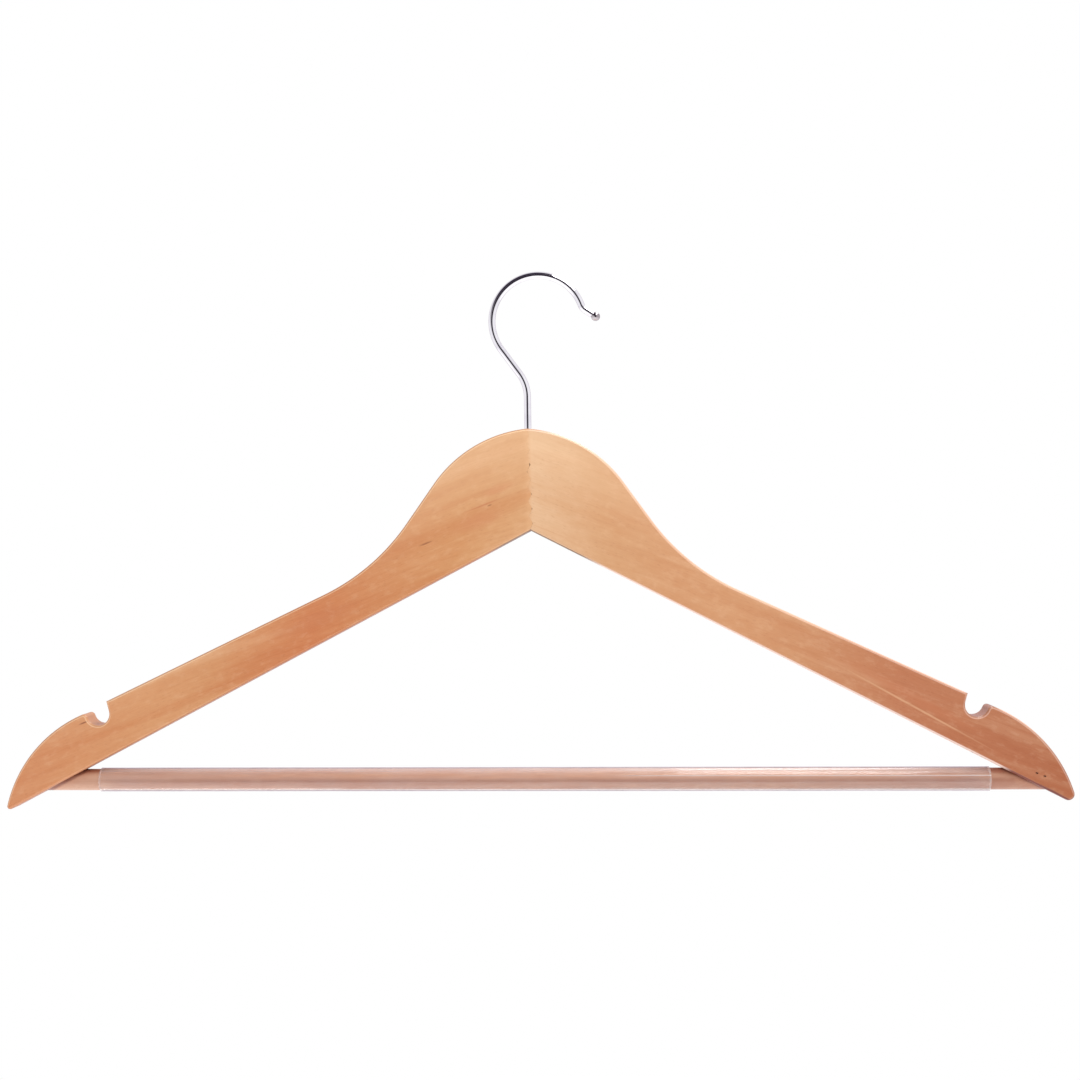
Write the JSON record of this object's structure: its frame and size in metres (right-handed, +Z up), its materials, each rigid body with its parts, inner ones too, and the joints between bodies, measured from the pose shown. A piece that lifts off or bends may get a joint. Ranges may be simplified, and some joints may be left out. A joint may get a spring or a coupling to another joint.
{
  "type": "wooden suit hanger",
  "caption": "Flat wooden suit hanger with finger-jointed arms, strap notches, a sleeved trouser bar and a swivelling chrome wire hook with a ball tip.",
  "frame": {"origin": "the point inside the top of the hook arch where a rail touches the wire", "axes": "+Z up along the hook shank, +X to the right seen from the front, front face towards -Y"},
  "size_m": [0.444, 0.012, 0.2228],
  "materials": {
    "left_arm_wood": "clear satin lacquer",
    "right_arm_wood": "clear satin lacquer",
    "bar_wood": "clear satin lacquer",
    "clear_vinyl": "clear, smooth",
    "left_staple_steel": "plain",
    "right_staple_steel": "plain",
    "hook_chrome": "bright plated",
    "ball_chrome": "bright plated",
    "bush_steel": "plain",
    "collar_steel": "plain"
  },
  "bodies": {
    "hook": {"hook_wire": "hook_chrome", "hook_ball_tip": "ball_chrome", "hook_collar": "collar_steel"},
    "hanger_body": {"left_arm": "left_arm_wood", "right_arm": "right_arm_wood", "trouser_bar": "bar_wood", "bar_sleeve": "clear_vinyl", "bar_staple_left": "left_staple_steel", "bar_staple_right": "right_staple_steel", "hook_bush": "bush_steel"}
  },
  "joints": [
    {"name": "hook_swivel", "type": "hinge", "parent": "hook", "child": "hanger_body", "pos_m": [-0.00485, 0, -0.06275], "axis": [0, 0, 1], "continuous": true}
  ]
}
